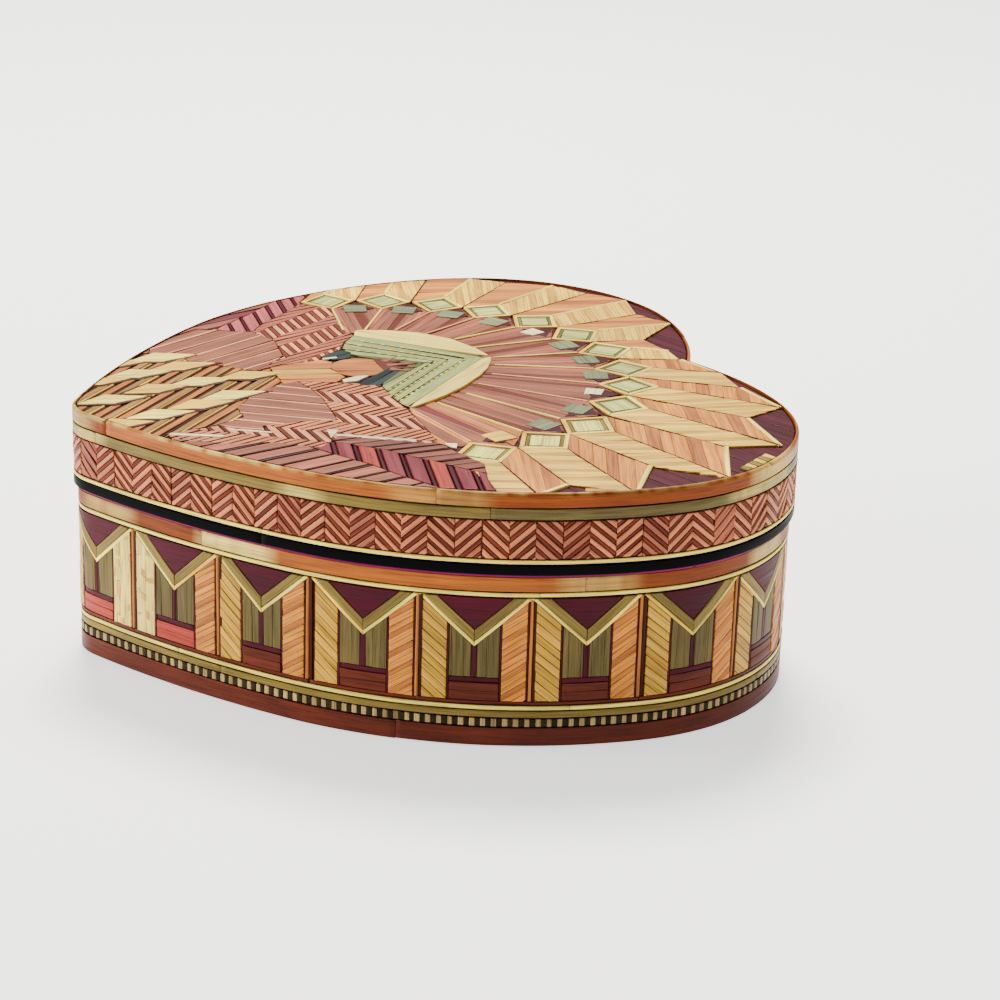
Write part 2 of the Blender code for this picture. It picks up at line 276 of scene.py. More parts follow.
def simplified(points, least=0.03):
    """The same polygon without points that all but touch or lie on a straight edge."""
    kept = []
    for p in points:
        if not kept or (p - kept[-1]).length > least:
            kept.append(p)
    while len(kept) > 3 and (kept[0] - kept[-1]).length <= least:
        kept.pop()
    result = []
    for before, here, after in zip(kept[-1:] + kept[:-1], kept, kept[1:] + kept[:1]):
        a, b = here - before, after - here
        if a.length > 0 and b.length > 0 and abs(a.cross(b)) > STRAIGHT * a.length * b.length:
            result.append(here)
    return result


def shrunk(points, distance):
    """Every edge moved inwards and met again; sharp corners are held back."""
    moved = []
    for before, here, after in zip(points[-1:] + points[:-1], points, points[1:] + points[:1]):
        a = (here - before).normalized()
        b = (after - here).normalized()
        normal_a = left_of(a)
        middle = normal_a + left_of(b)
        if middle.length < 1e-6:
            moved.append(here + normal_a * distance)
            continue
        middle.normalize()
        moved.append(here + middle * (distance / max(middle.dot(normal_a), SHARPEST)))
    return moved


def straws(region, angle, widths, shift=0.0, wander=0.0):
    """A region cut into side-by-side straws along an angle, with the number of each."""
    widths = widths if isinstance(widths, tuple) else (widths,)
    flat = turned(region, -angle)
    low_u, high_u = min(p.x for p in flat) - 1, max(p.x for p in flat) + 1
    low_v, high_v = min(p.y for p in flat), max(p.y for p in flat)
    rounds = math.floor((low_v - shift) / sum(widths))
    line = rounds * sum(widths) + shift
    number = rounds * len(widths)
    edge, tilt = line, 0.0
    while edge < high_v:
        line += widths[number % len(widths)]
        next_edge = line + dice.uniform(-wander, wander)
        next_tilt = dice.uniform(-wander, wander) * 0.5
        if next_edge > low_v:
            window = [
                (low_u, edge - tilt), (high_u, edge + tilt),
                (high_u, next_edge + next_tilt), (low_u, next_edge - next_tilt),
            ]
            for piece in overlap(region, turned(window, angle)):
                yield piece, number
        edge, tilt = next_edge, next_tilt
        number += 1


# Tiles

LEAST_AREA = 0.12
GAP_SHARE = 0.2
BEVEL_SHARE = 0.26
MOST_RISE = 0.07
SEEDS = 400
FINE_BEVEL = 0.09


def strip(start, end, width):
    """The outline of a straw from point to point, and its direction."""
    a, b = Vector(start), Vector(end)
    along = (b - a).normalized()
    side = left_of(along) * width / 2
    return [a - side, b - side, b + side, a + side], direction(along)


def straw_mesh():
    """An empty mesh that stores the dye and the direction of the fibre at its points."""
    mesh = bmesh.new()
    layers = mesh.verts.layers
    return mesh, layers.float_color.new("dye"), layers.float_vector.new("fibre")


class Tiles:
    """Straw tiles drawn flat, with dye and fibre direction in each, that become one mesh."""

    def __init__(self, low, top, gap=0.07, bevel=0.16, uneven=0.035, tilt=0.012, step=None):
        self.low, self.top, self.step = low, top, step
        self.gap, self.bevel, self.uneven, self.tilt = gap, bevel, uneven, tilt
        self.mesh, self.dye, self.fibre = straw_mesh()

    def tile(self, points, dye, angle, top=None, fade=0.12, gap=None, bevel=None, lean=None):
        """One piece of straw: its outline, colour, and the direction of its fibre."""
        points = simplified(anticlockwise(points))
        if len(points) < 3 or area(points) < LEAST_AREA:
            return
        around = sum((a - b).length for a, b in zip(points, points[1:] + points[:1]))
        slim = 2 * area(points) / around
        gap = min(self.gap if gap is None else gap, slim * GAP_SHARE)
        bevel = min(self.bevel if bevel is None else bevel, slim * BEVEL_SHARE)
        foot = shrunk(points, gap)
        crest = shrunk(points, gap + bevel)
        if area(crest) <= 0 or area(foot) <= 0:
            return
        top = (self.top if top is None else top) + dice.uniform(-self.uneven, self.uneven)
        middle = sum(points, Vector((0, 0))) / len(points)
        most = MOST_RISE
        if lean is None:
            lean = Vector((dice.gauss(0, self.tilt), dice.gauss(0, self.tilt)))
        else:
            most, lean = 1.0, Vector(lean)
        shade = 1 + dice.uniform(-fade, fade)
        colour = [min(1.0, c * shade) for c in dye[:3]] + [1.0]
        along = heading(angle)
        across = left_of(along)
        seed = dice.uniform(0, SEEDS)

        def ring(outline, height, follow):
            made = []
            for p in outline:
                rise = max(-most, min(most, lean.dot(p - middle))) * follow
                vert = self.mesh.verts.new((p.x, p.y, height + rise))
                vert[self.dye] = colour
                vert[self.fibre] = (p.dot(along), p.dot(across), seed)
                made.append(vert)
            return made

        bottom = ring(foot, self.low, 0)
        shoulder = ring(foot, top - bevel * 0.6, 1)
        crown = ring(crest, top, 1)
        count = len(points)
        for i in range(count):
            j = (i + 1) % count
            self.mesh.faces.new((bottom[i], bottom[j], shoulder[j], shoulder[i]))
            self.mesh.faces.new((shoulder[i], shoulder[j], crown[j], crown[i]))
        self.mesh.faces.new(crown)
        self.mesh.faces.new(bottom[::-1])
        if self.step:
            self.follow_wall(bottom + shoulder + crown)

    def follow_wall(self, verts):
        """Extra edges across x, so that a tile can follow a curved wall."""
        cut = math.ceil(min(v.co.x for v in verts) / self.step) * self.step
        last = max(v.co.x for v in verts)
        parts = list(verts) + list({e for v in verts for e in v.link_edges})
        parts += list({f for v in verts for f in v.link_faces})
        while cut < last - 0.01:
            done = bmesh.ops.bisect_plane(
                self.mesh, geom=parts, dist=1e-5, plane_co=(cut, 0, 0), plane_no=(1, 0, 0))
            parts = done["geom"]
            cut += self.step

    def lay(self, region, angle, pitch, dyes, shift=0.0, wander=0.0, top=None, fade=0.12, joint=None):
        """A region filled with straws along an angle, in turn in each of some dyes."""
        if joint is not None:
            region = shrunk(simplified(anticlockwise(region)), max(0.0, self.gap - joint))
        for piece, number in straws(region, angle, pitch, shift, wander):
            fine = None if joint is None else FINE_BEVEL
            self.tile(piece, dyes[number % len(dyes)], angle, top, fade, gap=joint, bevel=fine)

    def lay_within(self, region, window, *straw, **settings):
        """The part of a region inside a window, filled with straws."""
        for part in overlap(region, window):
            self.lay(part, *straw, **settings)

    def line(self, start, end, width, dye, top=None, fade=0.05):
        """One narrow straw from point to point."""
        outline, angle = strip(start, end, width)
        self.tile(outline, dye, angle, top, fade)

    def trim(self, start, end, width, dye):
        """A narrow straw on top of others, cut off at the edge of the lid."""
        outline, angle = strip(start, end, width)
        self.clipped(outline, FIELD, dye, angle, top=TOP + 0.02, fade=0.06, gap=0.03)

    def clipped(self, region, window, dye, angle, **settings):
        """The part of a straw that lies inside a window."""
        for piece in overlap(region, window):
            self.tile(piece, dye, angle, **settings)

    def finish(self, name, node, material, place, slot):
        """The mesh object, its points put in place, standing for a CAD node."""
        for vert in self.mesh.verts:
            vert.co = place(vert.co)
        finished(name, self.mesh, node, material, slot)


def finished(name, work, node, material, slot):
    """The object of a mesh, riding the box and standing for a CAD node if there is one."""
    mesh = bpy.data.meshes.new(name)
    work.to_mesh(mesh)
    work.free()
    mesh.materials.append(material)
    for polygon in mesh.polygons:
        polygon.use_smooth = True
    made = bpy.data.objects.new(name, mesh)
    bpy.context.scene.collection.objects.link(made)
    rounding = made.modifiers.new("even normals", "WEIGHTED_NORMAL")
    rounding.weight = 80
    rounding.keep_sharp = True
    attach(made, "root")
    if node:
        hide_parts(node)


def on_wall(inset):
    """Placing on the wall: x runs round the outline, y is height, z stands off the face."""
    def place(co):
        point, normal = outline_point(co.x, inset - co.z)
        return Vector((point.x * MM, point.y * MM, co.y * MM))
    return place


# Materials

DARK_STAIN = (0.46, 0.36, 0.30, 1.0)
PALE_STREAK = (1.45, 1.4, 1.3, 1.0)
SHINY_DYE = 0.35


class Skin:
    """A material under construction, with short ways to add and join nodes."""

    def __init__(self, name):
        self.made = bpy.data.materials.new(name)
        self.made.use_nodes = True
        self.tree = self.made.node_tree
        self.shader = self.tree.nodes["Principled BSDF"]

    def add(self, kind, inputs=None, **settings):
        """A node with its settings, whose inputs are values or the outputs of other nodes."""
        node = self.tree.nodes.new(kind)
        for key, value in settings.items():
            setattr(node, key, value)
        for key, value in (inputs or {}).items():
            self.put(node.inputs[key], value)
        return node

    def put(self, socket, value):
        """A socket joined to the output of a node, or set to a value."""
        if isinstance(value, bpy.types.NodeSocket):
            self.tree.links.new(value, socket)
        else:
            socket.default_value = value

    def stretched(self, place, scale, detail):
        """Noise drawn out along the axes of a place."""
        scaled = self.add("ShaderNodeVectorMath", {0: place, 1: scale}, operation="MULTIPLY")
        return self.cloud(scaled.outputs["Vector"], 1.0, detail)

    def cloud(self, place, scale, detail):
        """Plain noise at a place."""
        noise_node = self.add("ShaderNodeTexNoise", {"Vector": place, "Scale": scale, "Detail": detail})
        return noise_node.outputs["Fac"]

    def ranged(self, value, low, high, out_low, out_high):
        """One range of values spread over another."""
        spread = self.add("ShaderNodeMapRange", {
            "Value": value, "From Min": low, "From Max": high, "To Min": out_low, "To Max": out_high})
        return spread.outputs["Result"]

    def mixed(self, kind, factor, first, second):
        """Two colours mixed by a factor."""
        mix = self.add("ShaderNodeMix", data_type="RGBA", blend_type=kind)
        for key, value in (("Factor", factor), (6, first), (7, second)):
            self.put(mix.inputs[key], value)
        return mix.outputs[2]

    def bumped(self, height, strength, distance):
        """A fine relief on the surface."""
        bump = self.add("ShaderNodeBump", {"Strength": strength, "Distance": distance, "Height": height})
        self.put(self.shader.inputs["Normal"], bump.outputs["Normal"])


def straw_material(name, roughness=0.42, fibre=0.75, bleach=0.1, shine=0.22):
    """Flattened straw: fine lines along the fibre, streaks, faded patches and a silky gloss."""
    skin = Skin(name)
    dye = skin.add("ShaderNodeAttribute", attribute_name="dye").outputs["Color"]
    grain = skin.add("ShaderNodeAttribute", attribute_name="fibre").outputs["Vector"]
    fine = skin.stretched(grain, (0.12, 3.6, 1.0), 3.0)
    broad = skin.stretched(grain, (0.035, 0.9, 1.0), 2.0)
    place = skin.add("ShaderNodeNewGeometry").outputs["Position"]
    patches = skin.ranged(skin.cloud(place, 55.0, 3.0), 0.5, 0.7, 0.0, 1.0)

    darker = skin.mixed("MULTIPLY", 1.0, dye, DARK_STAIN)
    lighter = skin.mixed("MULTIPLY", 1.0, dye, PALE_STREAK)
    lined = skin.mixed("MIX", skin.ranged(fine, 0.36, 0.56, fibre, 0.0), dye, darker)
    streaked = skin.mixed("MIX", skin.ranged(broad, 0.50, 0.78, 0.0, 0.7), lined, lighter)
    stained = skin.mixed("MIX", skin.ranged(broad, 0.22, 0.42, 0.45, 0.0), streaked, darker)
    faded = skin.mixed("MULTIPLY", 1.0, stained, (1.0 + bleach * 3, 1.0 + bleach * 3, 1.0 + bleach * 2, 1.0))
    brightness = skin.add("ShaderNodeRGBToBW", {"Color": dye}).outputs["Val"]
    inputs = skin.shader.inputs
    skin.put(inputs["Base Color"], skin.mixed("MIX", patches, stained, faded))
    skin.put(inputs["Roughness"], skin.ranged(broad, 0.3, 0.7, roughness - 0.07, roughness + 0.14))
    skin.put(inputs["Specular IOR Level"], skin.ranged(brightness, 0.0, SHINY_DYE, shine * 0.4, shine))
    skin.bumped(fine, 0.55, 0.00006)
    return skin.made


def board_material():
    """Thin plain board with its grain along the box."""
    skin = Skin("bare_board")
    place = skin.add("ShaderNodeTexCoord").outputs["Object"]
    grain = skin.stretched(place, (1400.0, 60.0, 600.0), 4.0)
    ramp = skin.add("ShaderNodeValToRGB", {"Fac": grain})
    for element, position, colour in zip(
        ramp.color_ramp.elements, (0.3, 0.7), (rgb(104, 70, 44), rgb(150, 108, 70)),
    ):
        element.position = position
        element.color = colour
    skin.put(skin.shader.inputs["Base Color"], ramp.outputs["Color"])
    skin.put(skin.shader.inputs["Roughness"], 0.7)
    skin.bumped(grain, 0.37, 0.00008)
    return skin.made


STRAW_SKIN = straw_material("straw_skin")
DARK_SKIN = straw_material("dark_straw_skin", roughness=0.4, fibre=0.4, bleach=0.0, shine=0.05)
BOARD = board_material()

for node in ("base_floor", "base_wall", "base_collar", "lid_panel", "lid_wall"):
    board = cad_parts[node]
    board.data.materials.clear()
    board.data.materials.append(BOARD)


# Bands round the walls

LID_INSET = 0.0
BASE_INSET = 0.8
STRAW_DEPTH = 0.5
WALL_STEP = 1.7
STRAW_STEP = 1.2
WORN_END = 4
# How much of the edge's wear reaches each line of a long straw's section
EDGE_WEAR = (0.0, 0.0, 0.0, 0.0, 0.35, 1.0, 1.0, 1.0)


def worn_share(s, stretches):
    """How far the dye is rubbed away at a place: full in a stretch, and less towards its ends."""
    share = 0.0
    for start, end, most in stretches:
        near = min(s % PERIMETER - start, end - s % PERIMETER)
        share = max(share, most * max(0.0, min(1.0, near / WORN_END)))
    return share


def seams(first, count):
    """Places of the joints between long straws, unevenly spaced from a first one."""
    pitch = PERIMETER / count
    return [first + pitch * i + (dice.uniform(-9, 9) if i else 0) for i in range(count)]


def long_straws(name, node, inset, bottom, top, dyes, joints, slot, material=STRAW_SKIN, rounded=0.0,
                worn=(), edge_worn=()):
    """Long straws laid round a wall end to end, each with a rounded section and its own joints."""
    mesh, dye_layer, fibre_layer = straw_mesh()
    place = on_wall(inset)
    marks = sorted(seams(*joints))
    for number, (start, end) in enumerate(zip(marks, marks[1:] + [marks[0] + PERIMETER])):
        shade = 1 + dice.uniform(-0.1, 0.1)
        colour = [min(1, c * shade) for c in dyes[number % len(dyes)][:3]] + [1.0]
        seed = dice.uniform(0, SEEDS)
        drift = dice.uniform(-0.06, 0.06)
        lift = dice.uniform(-0.03, 0.03)
        edge = min(0.14, (top - bottom) * 0.2)
        section = [
            (bottom, -STRAW_DEPTH), (bottom, -edge), (bottom + edge, 0.0), (top - (top - bottom) * 0.3, 0.0),
            (top - edge - rounded, 0.0), (top - rounded * 0.45, -rounded * 0.35 - edge * 0.3),
            (top, -edge - rounded), (top, -STRAW_DEPTH - rounded * 0.6),
        ]
        steps = max(2, int((end - start) / STRAW_STEP))
        rows = []
        for step in range(steps + 1):
            share = step / steps
            s = start + 0.05 + (end - start - 0.1) * share
            sway = drift * math.sin(share * 9 + number) + 0.05 * noise.noise((s * 0.08, number, bottom))
            row = []
            run = 0.0
            rough = 0.5 + 0.9 * noise.noise((s * 0.5, bottom, 3.0))
            rough += 0.4 * noise.noise((s * 2.1, bottom, 7.0))
            rubbed = worn_share(s, worn) * max(0.0, min(1.0, 0.55 + rough))
            bare = worn_share(s, edge_worn) * max(0.0, min(1.0, (rough - 0.25) * 3.0))
            for index, (z, h) in enumerate(section):
                if index:
                    run += math.hypot(z - section[index - 1][0], h - section[index - 1][1])
                rise = lift if 0 < index < len(section) - 1 else 0
                vert = mesh.verts.new(place(Vector((s, z + sway, h + rise))))
                share = max(rubbed, bare * EDGE_WEAR[index])
                vert[dye_layer] = [a + (b - a) * share for a, b in zip(colour, WORN)]
                vert[fibre_layer] = (s, run, seed)
                row.append(vert)
            rows.append(row)
        for first, second in zip(rows, rows[1:]):
            for i in range(len(section)):
                j = (i + 1) % len(section)
                mesh.faces.new((first[i], second[i], second[j], first[j]))
        mesh.faces.new(rows[0])
        mesh.faces.new(rows[-1][::-1])
    bmesh.ops.recalc_face_normals(mesh, faces=mesh.faces)
    finished(name, mesh, node, material, slot)


def wall_tiles(**settings):
    return Tiles(-STRAW_DEPTH, 0.0, step=WALL_STEP, **settings)


CHEVRON_COLUMNS = 90
CHEVRON_START = 141.0
CHEVRON_WIDTHS = (0.76, 0.96)
CHEVRON_SLOPE = 42.0


def lid_chevrons():
    """Columns of slanting straws that lean one way and then the other."""
    low, high = levels("lid_chevron_band")
    tiles = wall_tiles(gap=0.06, bevel=0.15, uneven=0.05, tilt=0.03)
    width = PERIMETER / CHEVRON_COLUMNS
    for column in range(CHEVRON_COLUMNS):
        left = CHEVRON_START + column * width + dice.uniform(-0.12, 0.12)
        right = left + width + dice.uniform(-0.1, 0.1)
        slope = CHEVRON_SLOPE if column % 2 else -CHEVRON_SLOPE
        warm = dice.random()
        light = SALMON if warm > 0.3 else ROSE
        shift = dice.uniform(0, sum(CHEVRON_WIDTHS))
        lean = slope + dice.uniform(-2, 2)
        for piece, number in straws(rectangle(left, right, low, high), lean, CHEVRON_WIDTHS, shift, 0.08):
            if number % 2:
                tiles.tile(piece, light, slope, fade=0.14)
            else:
                tiles.tile(piece, DUSKY if warm > 0.15 else ROSE, slope, top=-0.16, fade=0.2)
    tiles.finish("lid_chevrons", "lid_chevron_band", STRAW_SKIN, on_wall(LID_INSET), "straw_salmon")


PANELS = 21
PANEL_START = 142.8
PANEL = PERIMETER / PANELS
V_SLOPE = 42.0
BLEACHED_PANELS = (3, 11)
RED_PANELS = (2, 3, 4, 10, 11, 15)
# Measured across a bay from the middle line of its pilaster, and up from its foot
PILASTER_START = 0.95
LEFT_PILASTER = 5.6
RIGHT_PILASTER = 5.7
SHADOW_LINE = 0.45
LEFT_UPRIGHT = 6.05
RIGHT_UPRIGHT = 6.15
UPRIGHT_PARTING = 0.55
BLOCK_HEIGHT = 3.6
STRIP_HEIGHT = 1.1
FRIEZE_LINE = 0.75
CREAM_TOP = 1.0
OLIVE_TOP = 3.3
# The last middle line, a brown strip set a little lower, is painted shadow.
MIDDLE_LINES = ((-0.9, -0.15, BROWN, 0.0), (-0.15, 0.55, TAN, 0.0), (0.55, 0.95, BROWN, -0.12))


def frieze():
    """Bays with a V over two green uprights, between pilasters of slanting straws."""
    low, high = levels("base_frieze_band")
    top = high - 0.05
    foot = low + FRIEZE_LINE
    tiles = wall_tiles(gap=0.05, bevel=0.13, uneven=0.04, tilt=0.02)
    for panel in range(PANELS):
        centre = PANEL_START + panel * PANEL + dice.uniform(-0.5, 0.5)
        after = PANEL_START + (panel + 1) * PANEL
        apex = (centre + after) / 2
        frieze_panel(tiles, centre, apex, after, low, foot, top, panel)
    tiles.finish("base_frieze", "base_frieze_band", STRAW_SKIN, on_wall(BASE_INSET), "straw_olive")


def bleached(tiles, region):
    """Straws that lost their dye, with stains left here and there."""
    for column, number in straws(region, 90, 1.15, 0, 0.1):
        slant = dice.uniform(-35, 35)
        for piece, step in straws(column, slant, (4.2, 1.3, 6.0, 0.8), dice.uniform(0, 12), 0.5):
            spoiled = step % 2 and dice.random() > 0.45
            tiles.tile(piece, STAIN if spoiled else (WORN if number % 3 else CREAM), 90, top=0.0,
                       fade=0.06, gap=0.0, bevel=0.02)


def frieze_panel(tiles, centre, apex, after, low, foot, top, panel):
    """One bay of the frieze, from one pilaster's middle line to the next."""
    reach = (after - centre) / 2
    slope = math.tan(math.radians(V_SLOPE))
    v_foot = top - reach * slope

    def under(s, rise):
        """Height of the V's lower edge at a place, or of a line above it."""
        return v_foot + abs(s - apex) * slope + rise

    # V from the top corners down to the middle: a cream straw below and an olive one above
    for side in (-1, 1):
        corner = apex + side * reach
        cream = CREAM if dice.random() > 0.3 else PALE_STRAW
        for lower, upper, dye in ((0.0, CREAM_TOP, cream), (CREAM_TOP, OLIVE_TOP, OLIVE)):
            window = [(apex, v_foot + lower), (apex, v_foot + upper),
                      (corner, under(corner, upper)), (corner, under(corner, lower))]
            tiles.clipped(window, rectangle(centre, after, low, top), dye, side * V_SLOPE, fade=0.18)
    tiles.tile([(apex, v_foot + OLIVE_TOP), (apex + (top - v_foot - OLIVE_TOP) / slope, top),
                (apex - (top - v_foot - OLIVE_TOP) / slope, top)], AUBERGINE, 0, top=-0.1)

    # Pilasters of slanting straws either side of the middle lines, each with a thin aubergine strip of
    # painted shadow on its far side
    pale = panel in BLEACHED_PANELS
    for near, far, pitch, angle, dyes, gap in (
        (centre + PILASTER_START, centre + LEFT_PILASTER, 1.05, -34.0, (ORANGE_TAN, TAN, ORANGE_TAN), 0.02),
        (after - PILASTER_START, after - RIGHT_PILASTER, 1.5, 40.0, (YELLOW_STRAW, YELLOW_STRAW, STRAW),
         0.06),
    ):
        region = [(near, foot), (far, foot), (far, under(far, 0.0)), (near, min(top, under(near, 0.0)))]
        if pale and near < apex or (panel + 1) % PANELS in BLEACHED_PANELS and near > apex:
            bleached(tiles, anticlockwise(region))
        else:
            for piece, number in straws(anticlockwise(region), angle, pitch, dice.uniform(0, 2), 0.12):
                tiles.tile(piece, dyes[number % len(dyes)], angle, fade=0.1, gap=gap, bevel=0.08)
        # Painted shadow: a thin aubergine strip on the far side of the pilaster.
        left, right = sorted((far, far + (SHADOW_LINE if far < apex else -SHADOW_LINE)))
        tiles.tile([(left, foot), (right, foot), (right, under(right, 0)), (left, under(left, 0))],
                   AUBERGINE, 90, top=-0.1, gap=0.02)
    # Middle lines: brown, tan, then a lowered brown strip of painted shadow.
    for start, end, dye, rise in MIDDLE_LINES:
        tiles.tile(rectangle(centre + start, centre + end, foot, top), dye, 90, top=rise, fade=0.2)

    # Uprights, the dark strip under them and the red block at the foot
    block = foot + BLOCK_HEIGHT
    ledge = block + STRIP_HEIGHT
    first, last = centre + LEFT_UPRIGHT, after - RIGHT_UPRIGHT
    left, right = apex - UPRIGHT_PARTING, apex + UPRIGHT_PARTING
    for start, end, dye in ((first, left, GREY_GREEN), (left, right, AUBERGINE), (right, last, GREY_GREEN)):
        region = [(start, ledge), (end, ledge), (end, under(end, 0))]
        if start < apex < end:
            region.append((apex, v_foot))
        region.append((start, under(start, 0)))
        tiles.lay(region, 90, 2.4, (dye,), shift=start, top=-0.06, fade=0.1, joint=0.015)
    tiles.tile(rectangle(first, last, block, ledge), AUBERGINE, 0, top=-0.12)
    red = PINK_RED if panel in RED_PANELS else RED_BROWN
    tiles.lay(rectangle(first, last, foot, block), 0, 1.9, (red,), shift=foot, top=-0.04, joint=0.02)
    # Thin line under all
    tiles.tile(rectangle(centre, after, low, foot), RED_BROWN, 0, fade=0.2)


CHECK_PITCH = 2.08


def check_row():
    """Short straws across the band, pale and dark in turn."""
    low, high = levels("base_check_band")
    tiles = wall_tiles(gap=0.04, bevel=0.1, uneven=0.05, tilt=0.02)
    count = int(PERIMETER / CHECK_PITCH)
    pitch = PERIMETER / count
    for i in range(count):
        start = i * pitch + dice.uniform(-0.08, 0.08)
        middle = start + pitch * dice.uniform(0.44, 0.54)
        end = (i + 1) * pitch
        tiles.tile(rectangle(start, middle, low, high), PALE_CHECK, 90, fade=0.3)
        tiles.tile(rectangle(middle, end, low, high), DARK_CHECK, 90, top=-0.06, fade=0.3)
    tiles.finish("base_checks", "base_check_band", STRAW_SKIN, on_wall(BASE_INSET), "straw_olive")


def whole_band(node, dyes, joints, slot, drop=0.0, **settings):
    """A band filled with long straws, from its foot to its top or a little below."""
    low, high = levels(node + "_band")
    name = node if node == "lid_rim" else node + "_line"
    inset = LID_INSET if node.startswith("lid") else BASE_INSET
    long_straws(name, node + "_band", inset, low, high - drop, dyes, joints, slot, **settings)


def walls():
    """All bands from the top down. Wear is given as start, end and strength."""
    whole_band("lid_rim", (ORANGE_BROWN, PALE_ORANGE), (213, 6), "straw_orange", rounded=0.35,
               worn=((58, 78, 0.6), (216, 226, 0.5), (128, 150, 0.2)),
               edge_worn=((60, 120, 0.25), (120, 172, 0.35), (168, 204, 1.0), (204, 240, 0.6),
                          (300, 350, 0.5)))
    whole_band("lid_olive", (OLIVE, GREY_GREEN), (216, 5), "straw_olive",
               worn=((160, 172, 0.5), (60, 84, 0.5), (212, 224, 0.6)))
    lid_chevrons()
    whole_band("lid_cream", (CREAM,), (60, 4), "straw_pale")
    whole_band("lid_black", (NAVY,), (20, 3), "straw_dark", material=DARK_SKIN)
    whole_band("base_orange", (ORANGE_BROWN, PALE_ORANGE), (189, 6), "straw_orange", drop=0.5,
               worn=((171, 191, 1.0), (60, 76, 0.6), (100, 118, 0.35), (205, 222, 0.4), (340, 352, 0.5)))
    high = levels("base_orange_band")[1]
    long_straws("base_magenta_line", None, BASE_INSET, high - 0.45, high, (MAGENTA,), (90, 3), "straw_plum")
    whole_band("base_upper_cream", (CREAM,), (120, 4), "straw_pale")
    frieze()
    whole_band("base_lower_cream", (CREAM,), (195, 5), "straw_pale")
    whole_band("base_olive", (OLIVE,), (70, 4), "straw_olive")
    check_row()
    whole_band("base_foot", (RED_BROWN,), (30, 4), "straw_salmon")


# Picture on the lid. Its points are drawn from an origin a little below the middle of the heart.

PICTURE_DROP = 2.4
FIELD_INSET = 0.85
TOP = cad_bounds[1][2] / MM
SHEET_LOW = levels("picture_ground")[1]
FIELD = [Vector((p.x, p.y + PICTURE_DROP)) for p in heart(FIELD_INSET)]


def on_picture(co):
    return Vector((co.x * MM, (co.y - PICTURE_DROP) * MM, co.z * MM))


def sheet(**settings):
    return Tiles(SHEET_LOW, TOP - 0.06, **settings)


def picture_piece(tiles, name, node, slot, material=STRAW_SKIN):
    tiles.finish(name, node, material, on_picture, slot)


FAN = Vector((-7.4, -3.9))
EYE_ANGLES = (173.8, 160.5, 147.3, 134.6, 121.1, 107.4, 94.0, 80.1, 67.5, 53.2, 37.1, 23.2, 8.3)
EYE_RADIUS = 53.0
EYE_REACH = 6.4
JOINT_ANGLES = [(a + b) / 2 for a, b in zip(EYE_ANGLES, EYE_ANGLES[1:])]


def fan_point(angle, radius):
    """A place in the fan, by angle and distance from its middle."""
    return FAN + heading(angle) * radius


# Outer ends of the lines that start at the eyes and at the joints between them
EYE_ENDS = (
    (-70.5, 10.0), (-71.9, 20.5), (-70.5, 38.5), (-60.8, 55.0), (-45.8, 67.0), (-26.5, 70.2),
    (-7.6, 62.0), (9.6, 66.8), (33.5, 69.5), (55.0, 60.0), (69.2, 43.2), (73.2, 23.4), (69.6, 5.6),
)
JOINT_ENDS = (
    (-70.0, 2.0), (-72.4, 14.6), (-72.0, 28.5), (-65.7, 45.3), (-53.0, 60.3), (-34.5, 65.3), (-16.2, 59.6),
    (-1.0, 62.0), (19.7, 66.8), (38.0, 60.5), (53.2, 49.5), (60.0, 31.3), (65.8, 12.8), (67.8, -1.2),
)
FIRST_RIGHT_FEATHER = 7
# Small straws left standing at the rim, and a chip of another
FRAGMENTS = 6
FRAGMENTS_START = Vector((67.6, 48.4))
FRAGMENTS_END = Vector((61.0, 56.6))
FRAGMENT_DEPTH = Vector((-2.6, -1.2))
CHIP = ((68.6, 15.0), (73.0, 14.0), (74.0, 22.0), (70.8, 22.6), (69.8, 19.0))


def outer_feathers():
    """Each feather is two long strips, cut from sheets of straws that lie across them."""
    tiles = sheet(gap=0.12, bevel=0.16)
    corners = [fan_point(a, EYE_RADIUS + EYE_REACH) for a in EYE_ANGLES]
    bases = [fan_point(a, EYE_RADIUS) for a in (180.6, *JOINT_ANGLES, 1.9)]
    for i, (corner, tip) in enumerate(zip(corners, EYE_ENDS)):
        right = i >= FIRST_RIGHT_FEATHER
        for k, angle, pitch, dyes, wander in (
            (i, -16 if right else 84, 2.6, (ORANGE_TAN, ORANGE_TAN, TAN), 0.3),
            (i + 1, 80 if right else -12, 1.5, (PALE_STRAW, PALE_STRAW, STRAW), 0.15),
        ):
            for part in overlap([corner, tip, JOINT_ENDS[k], bases[k]], FIELD):
                tiles.lay(part, angle + dice.uniform(-4, 4), pitch, dyes, shift=dice.uniform(0, 5),
                          wander=wander, fade=0.05, joint=0.015)
        if right:
            tiles.trim(corner, tip, 0.4, BROWN)
            tiles.trim(JOINT_ENDS[i], tip, 1.0, CREAM)
        else:
            tiles.trim(corner, tip, 0.9, CREAM)
        if i:
            tiles.trim(bases[i], JOINT_ENDS[i], 0.45, BROWN)
    for number in range(FRAGMENTS):
        a, b = (FRAGMENTS_START.lerp(FRAGMENTS_END, share / FRAGMENTS) for share in (number, number + 0.9))
        tiles.clipped([a, b, b + FRAGMENT_DEPTH, a + FRAGMENT_DEPTH], FIELD,
                      PALE_STRAW if number % 2 else OLIVE, 30, top=TOP + 0.02)
    tiles.clipped(CHIP, FIELD, STRAW, 100, top=TOP + 0.02)
    picture_piece(tiles, "outer_feathers", "picture_outer_feathers", "straw_gold")


def ground():
    """Dark straws that show wherever the picture leaves them free."""
    tiles = Tiles(SHEET_LOW - 0.3, TOP - 0.46, gap=0.05, uneven=0.01, tilt=0.0)
    for low, high, dye in ((-2, 90, AUBERGINE), (-90, -2, BROWN)):
        tiles.lay_within(FIELD, rectangle(-90, 90, low, high), 24, 5.2, (dye,), wander=0.3, fade=0.25)
    picture_piece(tiles, "lid_ground", "picture_ground", "straw_dark")


FRAME_SHARE = 0.79
CORE_SHARE = 0.62
GREEN_EYES = 10


